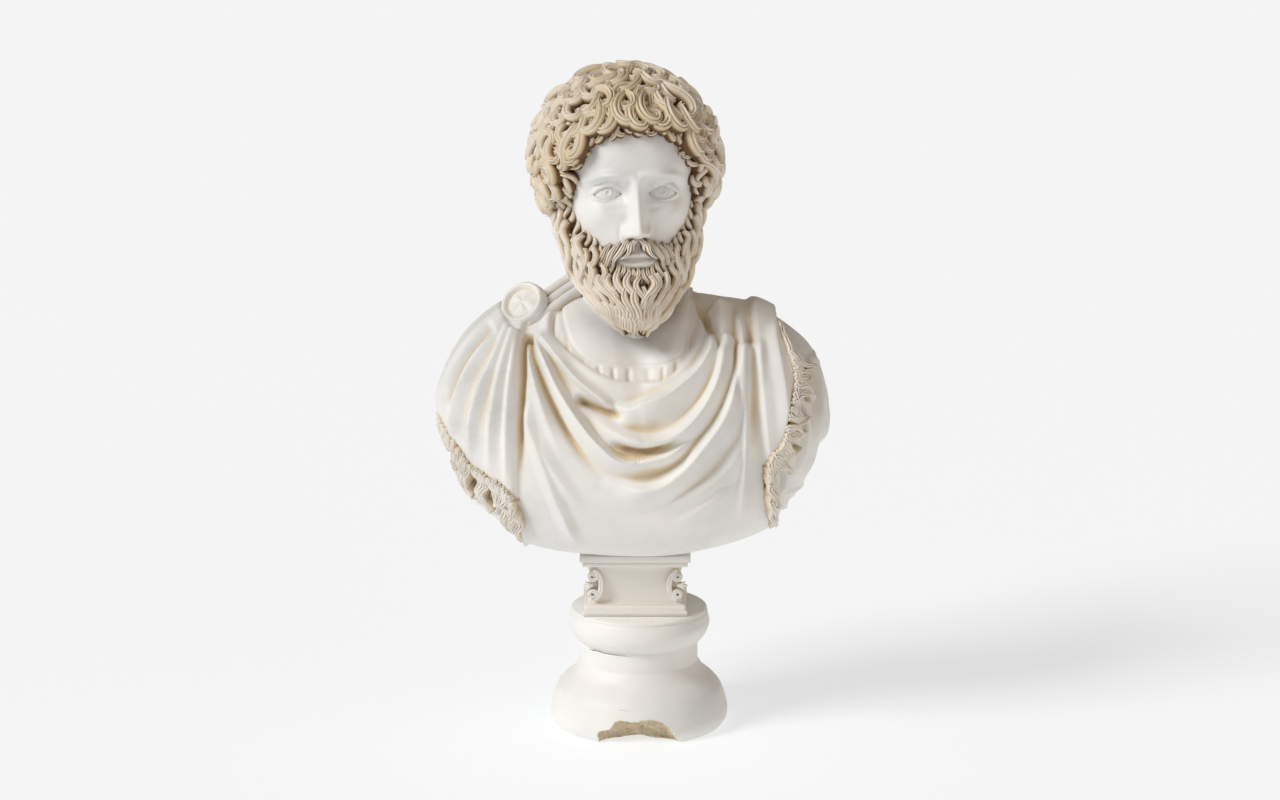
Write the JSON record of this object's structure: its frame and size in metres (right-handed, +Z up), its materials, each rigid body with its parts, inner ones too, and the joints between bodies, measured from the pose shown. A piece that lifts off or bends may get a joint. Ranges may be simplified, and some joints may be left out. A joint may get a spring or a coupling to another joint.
{
  "type": "roman emperor bust",
  "caption": "Bearded man with curly hair in a draped, fringed cloak: a carved marble bust on an index tablet and a turned round socle.",
  "frame": {"origin": "centre of the socle's underside", "axes": "+Z up through the socle's axis, the figure faces -Y, +X to the right of someone looking at the face"},
  "size_m": [0.4606, 0.2617, 0.7892],
  "materials": {
    "bust_marble": "smooth carved white marble, cream patina in the hollows",
    "socle_marble": "smooth turned white marble, the broken foot rough and yellowed"
  },
  "bodies": {
    "root": {"bust": "bust_marble", "socle": "socle_marble"}
  },
  "joints": []
}
